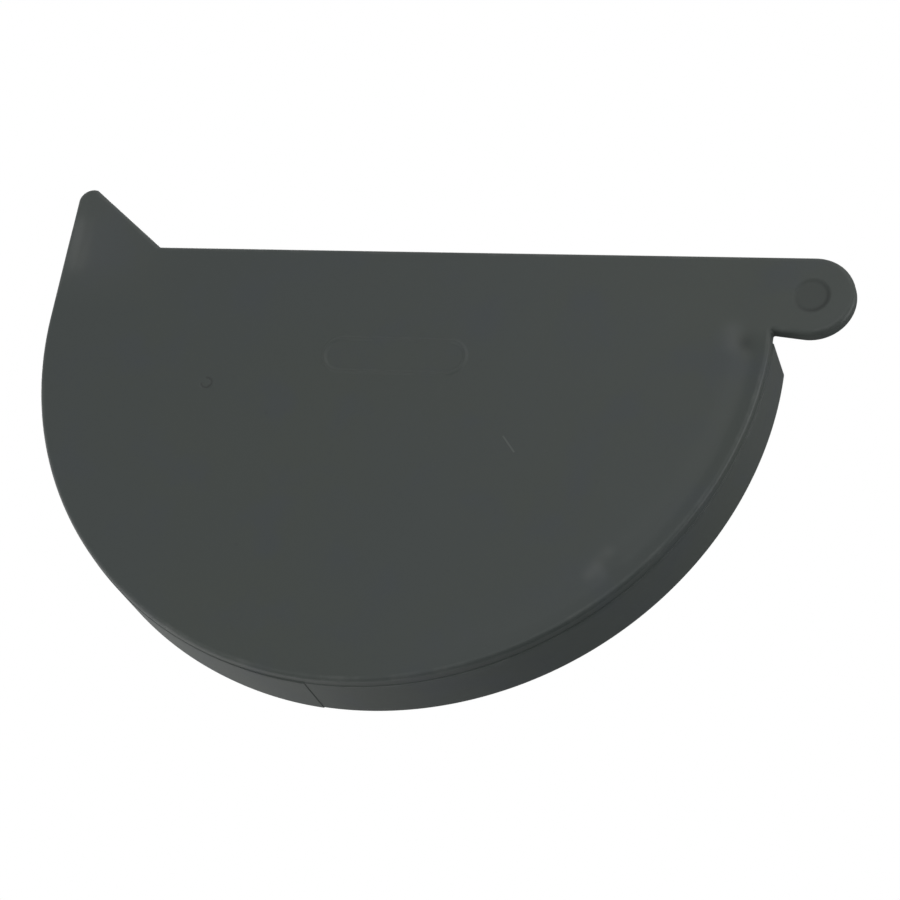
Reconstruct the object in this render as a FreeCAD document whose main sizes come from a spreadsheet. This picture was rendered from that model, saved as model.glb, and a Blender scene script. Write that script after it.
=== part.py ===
import FreeCAD, Part
import math
import os
import Sketcher

# Gutter end cap: one moulding that closes the end of a half-round gutter.
# A flat plate follows the gutter's section: half round below, a straight top edge, a pointed ear
# over the tall rear wall at -X and a round disc over the front bead at +X.
# Behind the plate (+Y) an outer rim and an inner rib leave a groove that the gutter wall is glued into.
# Frame: the gutter's axis is Y, +Z is up, and the plate's inner face, the gutter's stop, is at Y = 0.

# Driving dimensions, in millimetres.
SIZES = {
    "gutter_radius": (64.7, "outside radius of the gutter's half round"),
    "gutter_wall": (1.5, "wall of the gutter"),
    "glue_gap": (0.2, "clearance on each side of the gutter wall"),
    "rim_wall": (1.6, "wall of the outer rim"),
    "rim_depth": (11.7, "depth of the socket behind the plate"),
    "rim_end_drop": (0.5, "front end of rim and rib, below the axis"),
    "rim_below_tip": (4.9, "rear end of the rim, below the tip of the ear"),
    "rim_edge_radius": (0.4, "rounding of the rim's outer back edge"),
    "mouth_chamfer": (0.5, "lead-in at the groove's mouth"),
    "rib_wall": (1.5, "wall of the inner rib"),
    "rib_height": (6.0, "height of the inner rib"),
    "rib_below_top": (2.0, "rear end of the rib, below the top edge"),
    "plate_thick": (2.4, "thickness of the plate"),
    "plate_setback": (0.2, "step from the rim's outside in to the plate's edge"),
    "face_edge_radius": (0.8, "rounding of the front face's edge"),
    "riser_height": (0.45, "straight front edge, from the axis up to the notch"),
    "notch_radius": (0.3, "rounding of the notch under the bead disc"),
    "bead_radius": (7.4, "radius of the disc over the gutter's bead"),
    "bead_height": (7.55, "middle of that disc above the axis"),
    "bead_overlap": (1.4, "how far the disc laps over the plate's front edge"),
    "recess_radius": (3.35, "round recess in the bead disc"),
    "recess_depth": (0.25, "depth of that recess"),
    "ear_width": (18.6, "width of the ear at its foot"),
    "ear_rise": (11.9, "height of the ear's tip above the top edge"),
    "ear_tip_radius": (2.6, "rounding of the ear's tip"),
    "ear_foot_radius": (1.0, "rounding where the ear meets the top edge"),
}

# Sums of driving dimensions that several sketches share.
SOCKET_RADIUS = "(Sizes.gutter_radius + Sizes.glue_gap)"
RIM_RADIUS = "(" + SOCKET_RADIUS + " + Sizes.rim_wall)"
PLATE_RADIUS = "(" + RIM_RADIUS + " - Sizes.plate_setback)"
RIB_OUTER = "(Sizes.gutter_radius - Sizes.gutter_wall - Sizes.glue_gap)"
RIB_INNER = "(" + RIB_OUTER + " - Sizes.rib_wall)"
BEAD_REACH = "(" + PLATE_RADIUS + " + Sizes.bead_radius - Sizes.bead_overlap)"
TOP_HEIGHT = "(Sizes.bead_height + Sizes.bead_radius)"

TOLERANCE = 1e-4
START, END, CENTRE = 1, 2, 3
ORIGIN = -1

doc = FreeCAD.newDocument("GutterEndCap")
sheet = doc.addObject("Spreadsheet::Sheet", "Sizes")
for row, (alias, (number, note)) in enumerate(SIZES.items(), start=1):
    sheet.set("A%d" % row, alias)
    sheet.set("B%d" % row, str(number))
    sheet.set("C%d" % row, note)
    sheet.setAlias("B%d" % row, alias)
doc.recompute()


def value(alias):
    """The number in a cell of the sheet."""
    return float(sheet.get(alias))


# Places that the sketches start from; their constraints then hold them.
socket_radius = value("gutter_radius") + value("glue_gap")
rim_radius = socket_radius + value("rim_wall")
plate_radius = rim_radius - value("plate_setback")
rib_outer = value("gutter_radius") - value("gutter_wall") - value("glue_gap")
rib_inner = rib_outer - value("rib_wall")
bead_x = plate_radius + value("bead_radius") - value("bead_overlap")
bead_z = value("bead_height")
top_z = bead_z + value("bead_radius")
tip_z = top_z + value("ear_rise")


def vector(x, z):
    """A point of a sketch: X across the gutter, Z up."""
    return FreeCAD.Vector(x, z, 0)


def line(start, end):
    """A straight stretch between two (x, z) points."""
    return Part.LineSegment(vector(*start), vector(*end))


def arc(centre, radius, first, last):
    """An arc about an (x, z) point, counterclockwise between two angles in degrees."""
    circle = Part.Circle(vector(*centre), FreeCAD.Vector(0, 0, 1), radius)
    return Part.ArcOfCircle(circle, math.radians(first), math.radians(last))


def bearing(start, end):
    """The direction from one (x, z) point to another, in degrees."""
    return math.degrees(math.atan2(end[1] - start[1], end[0] - start[0]))


def along(point, angle, distance):
    """The (x, z) point that lies a distance from another at an angle in degrees."""
    return (point[0] + distance * math.cos(math.radians(angle)),
            point[1] + distance * math.sin(math.radians(angle)))


def upright_sketch(body, name):
    """A sketch on the body's own XZ plane; its normal points to -Y, out of the front face."""
    sketch = body.newObject("Sketcher::SketchObject", name)
    plane = [feature for feature in body.Origin.OriginFeatures if feature.Role == "XZ_Plane"][0]
    sketch.AttachmentSupport = [(plane, "")]
    sketch.MapMode = "FlatFace"
    return sketch


def constrain(sketch, kind, *places):
    """A constraint with no size."""
    return sketch.addConstraint(Sketcher.Constraint(kind, *places))


def dimension(sketch, name, expression, kind, *places):
    """A named dimension that follows the sheet; its last place is the starting size."""
    index = sketch.addConstraint(Sketcher.Constraint(kind, *places))
    sketch.renameConstraint(index, name)
    sketch.setExpression("Constraints." + name, expression)


def tangent_lean(first, first_radius, second, second_radius):
    """How far a straight edge that passes between two arcs, touching both, leans from their centre line."""
    return math.degrees(math.asin((first_radius + second_radius) / math.dist(first, second)))


def draw_plate(sketch):
    """The plate's outline: half round, riser, notch, underside, bead disc, top edge, ear, all tangent."""
    foot_x = value("ear_width") - plate_radius
    tip = (value("ear_tip_radius") - plate_radius, tip_z - value("ear_tip_radius"))
    foot = (foot_x, top_z + value("ear_foot_radius"))
    # The sloping edge touches the tip's arc on one side and the foot's arc on the other.
    lean = tangent_lean(foot, value("ear_foot_radius"), tip, value("ear_tip_radius"))
    normal = bearing(foot, tip) - 90 + lean
    slope_top = along(tip, normal, value("ear_tip_radius"))
    slope_foot = along(foot, normal, -value("ear_foot_radius"))
    # The underside touches the notch's arc from above and the bead disc from below.
    notch = (plate_radius + value("notch_radius"), value("riser_height"))
    bead = (bead_x, bead_z)
    lean = tangent_lean(notch, value("notch_radius"), bead, value("bead_radius"))
    up = bearing(notch, bead) + 90 - lean
    underside_start = along(notch, up, value("notch_radius"))
    underside_end = along(bead, up, -value("bead_radius"))

    half_round = sketch.addGeometry(arc((0, 0), plate_radius, 180, 360))
    riser = sketch.addGeometry(line((plate_radius, 0), (plate_radius, value("riser_height"))))
    notch_arc = sketch.addGeometry(arc(notch, value("notch_radius"), up, 180))
    underside = sketch.addGeometry(line(underside_start, underside_end))
    bead_arc = sketch.addGeometry(arc(bead, value("bead_radius"), up - 180, 90))
    top_edge = sketch.addGeometry(line((bead_x, top_z), (foot_x, top_z)))
    foot_arc = sketch.addGeometry(arc(foot, value("ear_foot_radius"), normal + 180, 270))
    slope = sketch.addGeometry(line(slope_foot, slope_top))
    tip_arc = sketch.addGeometry(arc(tip, value("ear_tip_radius"), normal, 180))
    rear_edge = sketch.addGeometry(line((-plate_radius, tip[1]), (-plate_radius, 0)))

    constrain(sketch, "Coincident", half_round, CENTRE, ORIGIN, START)
    constrain(sketch, "Tangent", half_round, END, riser, START)
    constrain(sketch, "Tangent", riser, END, notch_arc, END)
    constrain(sketch, "Tangent", notch_arc, START, underside, START)
    constrain(sketch, "Tangent", underside, END, bead_arc, START)
    constrain(sketch, "Tangent", bead_arc, END, top_edge, START)
    constrain(sketch, "Tangent", top_edge, END, foot_arc, END)
    constrain(sketch, "Tangent", foot_arc, START, slope, START)
    constrain(sketch, "Tangent", slope, END, tip_arc, START)
    constrain(sketch, "Tangent", tip_arc, END, rear_edge, START)
    constrain(sketch, "Tangent", rear_edge, END, half_round, START)
    constrain(sketch, "Vertical", riser)
    constrain(sketch, "Vertical", rear_edge)
    constrain(sketch, "Horizontal", top_edge)
    dimension(sketch, "plate_radius", PLATE_RADIUS, "Radius", half_round, plate_radius)
    dimension(sketch, "riser_height", "Sizes.riser_height", "DistanceY", riser, START, riser, END,
              value("riser_height"))
    dimension(sketch, "notch_radius", "Sizes.notch_radius", "Radius", notch_arc, value("notch_radius"))
    dimension(sketch, "bead_radius", "Sizes.bead_radius", "Radius", bead_arc, value("bead_radius"))
    dimension(sketch, "bead_reach", BEAD_REACH, "DistanceX", ORIGIN, START, bead_arc, CENTRE, bead_x)
    dimension(sketch, "bead_height", "Sizes.bead_height", "DistanceY",
              ORIGIN, START, bead_arc, CENTRE, bead_z)
    dimension(sketch, "ear_width", "Sizes.ear_width", "DistanceX", rear_edge, END, top_edge, END,
              value("ear_width"))
    dimension(sketch, "ear_foot_radius", "Sizes.ear_foot_radius", "Radius", foot_arc,
              value("ear_foot_radius"))
    dimension(sketch, "ear_tip_radius", "Sizes.ear_tip_radius", "Radius", tip_arc, value("ear_tip_radius"))
    dimension(sketch, "ear_rise", "Sizes.ear_rise - Sizes.ear_tip_radius", "DistanceY", top_edge, END,
              tip_arc, CENTRE, value("ear_rise") - value("ear_tip_radius"))


def draw_wall(sketch, inner, outer, inner_rule, outer_rule, rear_top, rear_rule):
    """A wall along the gutter: two arcs about the axis, straight up the rear, level at both ends."""
    drop = value("rim_end_drop")
    inner_angle = 360 - math.degrees(math.asin(drop / inner))
    outer_angle = 360 - math.degrees(math.asin(drop / outer))
    inner_front = along((0, 0), inner_angle, inner)
    outer_front = along((0, 0), outer_angle, outer)

    outer_arc = sketch.addGeometry(arc((0, 0), outer, 180, outer_angle))
    front_end = sketch.addGeometry(line(outer_front, inner_front))
    inner_arc = sketch.addGeometry(arc((0, 0), inner, 180, inner_angle))
    inner_leg = sketch.addGeometry(line((-inner, 0), (-inner, rear_top)))
    rear_end = sketch.addGeometry(line((-inner, rear_top), (-outer, rear_top)))
    outer_leg = sketch.addGeometry(line((-outer, rear_top), (-outer, 0)))

    constrain(sketch, "Coincident", outer_arc, CENTRE, ORIGIN, START)
    constrain(sketch, "Coincident", inner_arc, CENTRE, ORIGIN, START)
    constrain(sketch, "Coincident", outer_arc, END, front_end, START)
    constrain(sketch, "Coincident", front_end, END, inner_arc, END)
    constrain(sketch, "Tangent", inner_arc, START, inner_leg, START)
    constrain(sketch, "Coincident", inner_leg, END, rear_end, START)
    constrain(sketch, "Coincident", rear_end, END, outer_leg, START)
    constrain(sketch, "Tangent", outer_leg, END, outer_arc, START)
    constrain(sketch, "Vertical", inner_leg)
    constrain(sketch, "Vertical", outer_leg)
    constrain(sketch, "Horizontal", front_end)
    constrain(sketch, "Horizontal", rear_end)
    dimension(sketch, "outer_radius", outer_rule, "Radius", outer_arc, outer)
    dimension(sketch, "inner_radius", inner_rule, "Radius", inner_arc, inner)
    dimension(sketch, "end_drop", "Sizes.rim_end_drop", "DistanceY", front_end, START, ORIGIN, START, drop)
    dimension(sketch, "rear_top", rear_rule, "DistanceY", ORIGIN, START, rear_end, START, rear_top)


def pad(body, sketch, name, length_rule, backwards):
    """A sketch carried along the gutter: to the front, or backwards into the socket."""
    feature = body.newObject("PartDesign::Pad", name)
    feature.Profile = sketch
    feature.Reversed = backwards
    feature.setExpression("Length", length_rule)
    sketch.Visibility = False
    doc.recompute()
    return feature


def wall_reach(point):
    """How far a point lies from the gutter's axis, or beside it above the half round."""
    return math.hypot(point.x, point.z) if point.z < 0 else abs(point.x)


def level_edges(shape, depth, reach=None):
    """Names of the edges that lie flat at a depth Y, and on the wall of a given reach."""
    names = []
    for number, edge in enumerate(shape.Edges, start=1):
        middle = edge.valueAt((edge.FirstParameter + edge.LastParameter) / 2)
        points = [middle] + [vertex.Point for vertex in edge.Vertexes]
        level = all(abs(point.y - depth) < TOLERANCE for point in points)
        on_wall = reach is None or all(abs(wall_reach(point) - reach) < TOLERANCE for point in points)
        if level and on_wall:
            names.append("Edge%d" % number)
    return names


def dress_edges(body, kind, name, base, edges, size_name, size_rule):
    """A fillet or chamfer on edges of the feature before it."""
    feature = body.newObject("PartDesign::" + kind, name)
    feature.Base = (base, edges)
    feature.setExpression(size_name, size_rule)
    doc.recompute()
    return feature


def make_end_cap():
    """The cap as one body: plate, rim and rib, then their edges and the bead's recess."""
    body = doc.addObject("PartDesign::Body", "EndCap")
    body.Label = "end_cap"

    outline = upright_sketch(body, "PlateOutline")
    draw_plate(outline)
    pad(body, outline, "Plate", "Sizes.plate_thick", False)

    rim_line = upright_sketch(body, "RimSection")
    draw_wall(rim_line, socket_radius, rim_radius, SOCKET_RADIUS, RIM_RADIUS,
              tip_z - value("rim_below_tip"), TOP_HEIGHT + " + Sizes.ear_rise - Sizes.rim_below_tip")
    pad(body, rim_line, "Rim", "Sizes.rim_depth", True)

    rib_line = upright_sketch(body, "RibSection")
    draw_wall(rib_line, rib_inner, rib_outer, RIB_INNER, RIB_OUTER,
              top_z - value("rib_below_top"), TOP_HEIGHT + " - Sizes.rib_below_top")
    base = pad(body, rib_line, "Rib", "Sizes.rib_height", True)

    base = dress_edges(body, "Fillet", "FaceEdge", base, level_edges(base.Shape, -value("plate_thick")),
                       "Radius", "Sizes.face_edge_radius")
    mouth = level_edges(base.Shape, value("rim_depth"), socket_radius)
    base = dress_edges(body, "Chamfer", "RimMouth", base, mouth, "Size", "Sizes.mouth_chamfer")
    lead = level_edges(base.Shape, value("rib_height"), rib_outer)
    base = dress_edges(body, "Chamfer", "RibLead", base, lead, "Size", "Sizes.mouth_chamfer")
    back = level_edges(base.Shape, value("rim_depth"), rim_radius)
    dress_edges(body, "Fillet", "RimEdge", base, back, "Radius", "Sizes.rim_edge_radius")

    recess = upright_sketch(body, "RecessOutline")
    recess.setExpression(".AttachmentOffset.Base.z", "Sizes.plate_thick")
    circle = Part.Circle(vector(bead_x, bead_z), FreeCAD.Vector(0, 0, 1), value("recess_radius"))
    ring = recess.addGeometry(circle)
    dimension(recess, "recess_radius", "Sizes.recess_radius", "Radius", ring, value("recess_radius"))
    dimension(recess, "recess_x", BEAD_REACH, "DistanceX", ORIGIN, START, ring, CENTRE, bead_x)
    dimension(recess, "recess_z", "Sizes.bead_height", "DistanceY", ORIGIN, START, ring, CENTRE, bead_z)
    pocket = body.newObject("PartDesign::Pocket", "BeadRecess")
    pocket.Profile = recess
    pocket.setExpression("Length", "Sizes.recess_depth")
    recess.Visibility = False
    doc.recompute()
    return body


def check(document, bodies):
    """Stop if a feature failed or a body has no sound solid."""
    for item in document.Objects:
        if "Invalid" in item.State or "Error" in item.State:
            raise RuntimeError("%s failed: %s" % (item.Label, item.State))
    for body in bodies:
        if body.Shape.isNull() or not body.Shape.isValid() or len(body.Shape.Solids) != 1:
            raise RuntimeError("%s is not one sound solid" % body.Label)


def write(bodies):
    """Write each body to a STEP file under its label."""
    os.makedirs("parts", exist_ok=True)
    for body in bodies:
        body.Shape.exportStep(os.path.join("parts", body.Label + ".step"))
        box = body.Shape.optimalBoundingBox()
        print("%s: %.2f x %.2f x %.2f mm, %.0f mm3"
              % (body.Label, box.XLength, box.YLength, box.ZLength, body.Shape.Volume))


sub_parts = [make_end_cap()]
doc.recompute()
check(doc, sub_parts)
write(sub_parts)
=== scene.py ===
"""Gutter end cap: the moulded look of the cap and a plain studio, built around its packed frame.

X runs across the gutter, from the pointed rear ear to the round front bead, Y along the gutter and Z up.
The plate's front face looks to -Y, and the rim and rib behind it stand towards +Y. All lengths are metres.
"""

import math
from collections import namedtuple

import bpy
import numpy as np
from bpy.props import FloatProperty, FloatVectorProperty, PointerProperty
from mathutils import Matrix, Vector
from mathutils.geometry import delaunay_2d_cdt


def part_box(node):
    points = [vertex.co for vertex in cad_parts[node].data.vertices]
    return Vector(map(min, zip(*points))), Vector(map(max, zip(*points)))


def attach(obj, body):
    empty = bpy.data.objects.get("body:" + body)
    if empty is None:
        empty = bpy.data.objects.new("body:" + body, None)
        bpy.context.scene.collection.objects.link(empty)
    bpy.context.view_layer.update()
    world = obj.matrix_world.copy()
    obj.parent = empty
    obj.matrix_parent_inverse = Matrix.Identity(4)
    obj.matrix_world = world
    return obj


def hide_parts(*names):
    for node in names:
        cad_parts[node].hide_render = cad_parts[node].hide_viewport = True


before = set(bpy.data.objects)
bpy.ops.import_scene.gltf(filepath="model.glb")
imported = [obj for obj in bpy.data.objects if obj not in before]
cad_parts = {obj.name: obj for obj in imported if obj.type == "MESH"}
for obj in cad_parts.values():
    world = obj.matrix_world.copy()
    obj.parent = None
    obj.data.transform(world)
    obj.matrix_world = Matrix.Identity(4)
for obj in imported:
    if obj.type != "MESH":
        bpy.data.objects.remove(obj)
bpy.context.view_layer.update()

bl_info = {
    "name": "Gutter end cap",
    "version": (1, 0, 0),
    "blender": (4, 5, 0),
    "location": "3D View > Sidebar > End cap",
    "description": "Builds a moulded gutter end cap and a plain studio around its packed frame",
    "category": "Object",
}

MM = 0.001
NODE = "end_cap"
BODY = "root"
SLOT = "cap_plastic"
LOW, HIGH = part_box(NODE)

# How finely the surfaces are divided: along the edge, over the two faces and round the corners.
STATION_STEP = 0.8 * MM
STATION_TURN = math.radians(5)
STATION_CLEAR = 0.12 * MM
FRONT_STEP = 0.6 * MM
BACK_STEP = 2.4 * MM
FIELD_MARGIN = 0.6
ROUND_STEPS = 6
SMALL_ROUND_STEPS = 4
SHARP_ANGLE = math.radians(38)

# How far a face's points bow out while it is filled, and its merging distance in millimetres.
FILL_BOW = 0.05
MERGE_DISTANCE = 1e-6

# A quarter circle's two coordinates, 1 - sin and 1 - cos of its angle: one falls to 0, one rises to 1.
FALL = 1 - np.sin(np.linspace(0, math.pi / 2, ROUND_STEPS))
RISE = 1 - np.cos(np.linspace(0, math.pi / 2, ROUND_STEPS))
SMALL_FALL = 1 - np.sin(np.linspace(0, math.pi / 2, SMALL_ROUND_STEPS))
SMALL_RISE = 1 - np.cos(np.linspace(0, math.pi / 2, SMALL_ROUND_STEPS))

# The edge's section: the strip beside a rounding, the rim's rows as shares of its depth, and how many
# root roundings lie between the rib and the last row.
EDGE_STRIP = 0.15 * MM
RIM_ROWS = np.linspace(0.1, 0.9, 5)
LAST_ROW = 3

# How close the rows on the back lie where there is no rib, and where, before its ends, they spread out.
ROWS_CLOSED = 0.05
ROWS_SPREAD = (-8 * MM, -0.5 * MM)

# Wear of the groove's chamfers and the rib's inner edge, where a rounded outer edge has 1.
CHAMFER_WEAR = 0.6
RIB_WEAR = 0.8

# Shares of the step behind the plate's edge that its hollow foot and its round corner take.
STEP_HOLLOW = 0.6
STEP_ROUND = 0.35

# The mould's joint line on the rim: its angle round the half round, from the rear, and its width.
WITNESS_ANGLE = math.radians(85.7)
WITNESS_WIDTH = 0.12 * MM

# Where the sunk band in front of the rib comes in, towards the front and downwards.
SINK_FRONT = (8.8 * MM, 48.5 * MM)
SINK_BELOW = (0.8 * MM, -3.0 * MM)

# Height of the middle of the ear's trough and of the plate's hollow, and how far each spreads.
TROUGH_HEIGHT = 16 * MM
TROUGH_LENGTH = 4.5 * MM
BOW_HEIGHT = -20 * MM
BOW_SPREAD = 30 * MM

# The pin's ring is open at an angle about its middle, and runs out between two cosines from there.
RING_GAP = math.radians(150)
RING_RUN_OUT = (0.95, 0.6)

# How much painted shade lies in the pin's ring, the dimple, on the recess's floor, and at its foot, where
# one side has more. The foot's shade lies at a share of the wall, and the floor's comes in over so many
# walls.
RING_SHADE = 0.7
DIMPLE_SHADE = 0.55
RECESS_FLOOR_SHADE = 0.3
FOOT_SHADE = 0.1
FOOT_SIDE_SHADE = 0.75
FOOT_SIDE = -math.pi / 4
FOOT_SHARE = 0.7
FLOOR_WALLS = 2

# Where the painted light that makes the ear paler comes in, across and upwards, and two painted highlight
# streaks' widths in streak spreads.
EAR_LIGHT_ACROSS = (-40 * MM, -62 * MM)
EAR_LIGHT_UP = (0, 15 * MM)
EAR_STREAK = 1.3
LOW_STREAK = 0.6

# Rows of points along the face's marks: the steps along them, and how far the even field keeps clear.
ROW_TURN = math.radians(9)
PANEL_STEP = 0.4 * MM
PANEL_CLEAR = 0.4 * MM
RING_STEP = 0.2 * MM
RING_CLEAR = 0.25 * MM
RECESS_STEP = 0.35 * MM
RECESS_CLEAR = 0.55 * MM
RECESS_FLOOR_STEP = 0.5 * MM

# Where those rows lie: across a line in half widths, and at the recess outside its wall, down the wall in
# shares and inside it. The circles within the recess and the pin's ring are shares of their radius.
LINE_ROWS = np.linspace(-1.2, 1.2, 9)
RECESS_LIP = (-0.25 * MM, -0.08 * MM)
RECESS_WALL_ROWS = (0.0, 0.3, 0.7, 1.0)
RECESS_INSIDE = 0.1 * MM
RECESS_CIRCLES = (0.82, 0.66, 0.5, 0.34, 0.18)
RING_CIRCLES = (0.5, 0.2)

# The plastic's noises: waves in a metre, detail and roughness.
Noise = namedtuple("Noise", "scale detail rough")
BROAD_NOISE = Noise(26, 3, 0.5)
PATCH_NOISE = Noise(95, 3, 0.5)
GRAIN_NOISE = Noise(1500, 3, 0.6)
WEAR_NOISE = Noise(240, 4, 0.6)
SKIN_NOISE = Noise(420, 2, 0.5)
PIT_NOISE = Noise(4200, 2, 0.5)
NOISE_MIDDLE = 0.5

# Between which values of its noise, or distances, each trace in the plastic comes in.
GREEN_RAMP = (0.38, 0.68)
BLUE_RAMP = (0.48, 0.72)
GRAIN_RAMP = (0.55, 0.85)
WEAR_RAMP = (0.44, 0.74)
FRONT_RAMP = (-1.4 * MM, -1.9 * MM)
SCRATCH_RAMP = (0.22 * MM, 0.08 * MM)
SPECK_RAMP = (0.45 * MM, 0.2 * MM)

# How much of each trace shows in the colour, and how dark the grain and the specks are.
BLUE_SHARE = 0.8
GRAIN_SHARE = 0.45
WEAR_SHARE = 0.3
SCRATCH_SHARE = 0.6
SPECK_SHARE = 0.5
# Share of the painted shade in the hollows.
HOLLOW_SHADE_SHARE = 0.75
GRAIN_DARK = 0.8

# How much of each trace shows in the bump's height and in the roughness.
SKIN_HEIGHT = 0.7
PIT_HEIGHT = 0.3
SCRATCH_HEIGHT = 0.8
BROAD_ROUGH = 0.10
PATCH_ROUGH = 0.08
WORN_GLOSS = 0.1
# How much rougher the painted shade in the hollows is.
HOLLOW_SHADE_ROUGH = 0.2

# The floor: half its side, its points along a side, where it fades out, and where its glow darkens to +X.
FLOOR_HALF = 2.0
FLOOR_POINTS = 9
FLOOR_FADE = (0.9, 1.9)
SHADE_RAMP = (0.0, 0.22)

# The grey card: its place behind the cap, half its width, its lower and upper edge, its points along a side.
CARD_BACK = 0.45
CARD_HALF = 0.9
CARD_LOW = -0.38
CARD_HIGH = 0.7
CARD_POINTS = 5

# The lamps, which all look at the origin: azimuth and elevation in degrees, distance from there, and size.
Lamp = namedtuple("Lamp", "azimuth elevation distance size")
LAMPS = {
    "key": Lamp(20, 30, 0.7, 0.8),
    "right": Lamp(90, 0, 0.7, 0.56),
    "front": Lamp(-30, -20, 0.6, 0.4),
    "left": Lamp(-90, -20, 0.45, 0.45),
    "back": Lamp(-130, -20, 0.45, 0.45),
    "rear": Lamp(-145, 30, 0.42, 0.26),
}

# The camera's sensor in millimetres, and the nearest that it sees.
SENSOR_WIDTH = 36
CLIP_START = 0.01


def length_property(name, description, default):
    """A length that a user would change."""
    return FloatProperty(name=name, description=description, default=default, precision=5,
                         subtype="DISTANCE", unit="LENGTH")


def place_property(name, description, default):
    """A place on the front face, X across and Z up, or a point in space."""
    return FloatVectorProperty(name=name, description=description, default=default, size=len(default),
                               precision=5, subtype="XYZ", unit="LENGTH")


def angle_property(name, description, degrees):
    """An angle, given in degrees."""
    return FloatProperty(name=name, description=description, default=math.radians(degrees),
                         subtype="ANGLE", unit="ROTATION")


def colour_property(name, description, default):
    """A linear colour."""
    return FloatVectorProperty(name=name, description=description, default=default, size=3, min=0, max=1,
                               subtype="COLOR")


def share_property(name, description, default):
    """A share from 0 to 1."""
    return FloatProperty(name=name, description=description, default=default, min=0, max=1,
                         subtype="FACTOR")


def level_property(name, description, default):
    """A brightness or a ratio, which isn't below 0."""
    return FloatProperty(name=name, description=description, default=default, min=0)


def power_property(name, description, default):
    """A lamp's power in watts."""
    return FloatProperty(name=name, description=description, default=default, min=0,
                         subtype="POWER", unit="POWER")


class CapSizes(bpy.types.PropertyGroup):
    """Sizes of the moulding; its outer box comes from the frame."""
    plate_thick: length_property("Plate", "Thickness of the plate", -LOW.y)
    rim_depth: length_property("Rim depth", "Depth of the socket behind the plate", HIGH.y)
    rim_radius: length_property("Rim radius", "Outside radius of the rim", -LOW.x)
    front_reach: length_property("Front reach", "Front of the bead disc, from the gutter's axis", HIGH.x)
    tip_height: length_property("Tip height", "Top of the ear, above the gutter's axis", HIGH.z)
    plate_setback: length_property("Setback", "Step from the rim's outside in to the plate's edge", 0.2 * MM)
    face_round: length_property("Face rounding", "Rounding of the front face's edge", 0.8 * MM)
    back_round: length_property("Back rounding", "Rounding of the plate's bare back edge", 0.25 * MM)
    mould_shift: place_property("Mould shift", "Offset of the mould's front half", (-0.05 * MM, -0.07 * MM))
    shift_fade: length_property("Shift fade", "Length in which that offset comes in", 8 * MM)
    rim_wall: length_property("Rim wall", "Wall of the rim", 1.6 * MM)
    rim_round: length_property("Rim rounding", "Rounding of the rim's outer back edge", 0.4 * MM)
    mouth_chamfer: length_property("Mouth chamfer", "Lead-in at the groove's mouth", 0.5 * MM)
    groove_width: length_property("Groove", "Width of the groove that takes the gutter", 1.9 * MM)
    rib_wall: length_property("Rib wall", "Wall of the inner rib", 1.5 * MM)
    rib_height: length_property("Rib height", "Height of the inner rib", 6.0 * MM)
    root_round: length_property("Root rounding", "Rounding at the foot of rim and rib", 0.2 * MM)
    end_round: length_property("End rounding", "Rounding at the ends of rim and rib", 0.25 * MM)
    end_drop: length_property("End drop", "Front end of rim and rib, below the axis", 0.5 * MM)
    rim_below_tip: length_property("Rim end", "Rear end of the rim, below the ear's tip", 4.9 * MM)
    rib_below_top: length_property("Rib end", "Rear end of the rib, below the top edge", 2.0 * MM)
    riser_height: length_property("Riser", "Straight front edge, from the axis up to the notch", 0.45 * MM)
    notch_radius: length_property("Notch", "Rounding of the notch under the bead disc", 0.3 * MM)
    bead_radius: length_property("Bead", "Radius of the disc over the gutter's bead", 7.4 * MM)
    bead_height: length_property("Bead height", "Middle of that disc above the axis", 7.55 * MM)
    ear_width: length_property("Ear width", "Width of the ear at its foot", 18.6 * MM)
    ear_tip_radius: length_property("Ear tip", "Rounding of the ear's tip", 2.6 * MM)
    ear_foot_radius: length_property("Ear foot", "Rounding where the ear meets the top edge", 1.0 * MM)
    witness_height: length_property("Witness height", "Step at the mould's joint line on the rim", 0.12 * MM)
    witness_fade: length_property("Witness fade", "Length in which that step runs out", 24 * MM)


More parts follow.
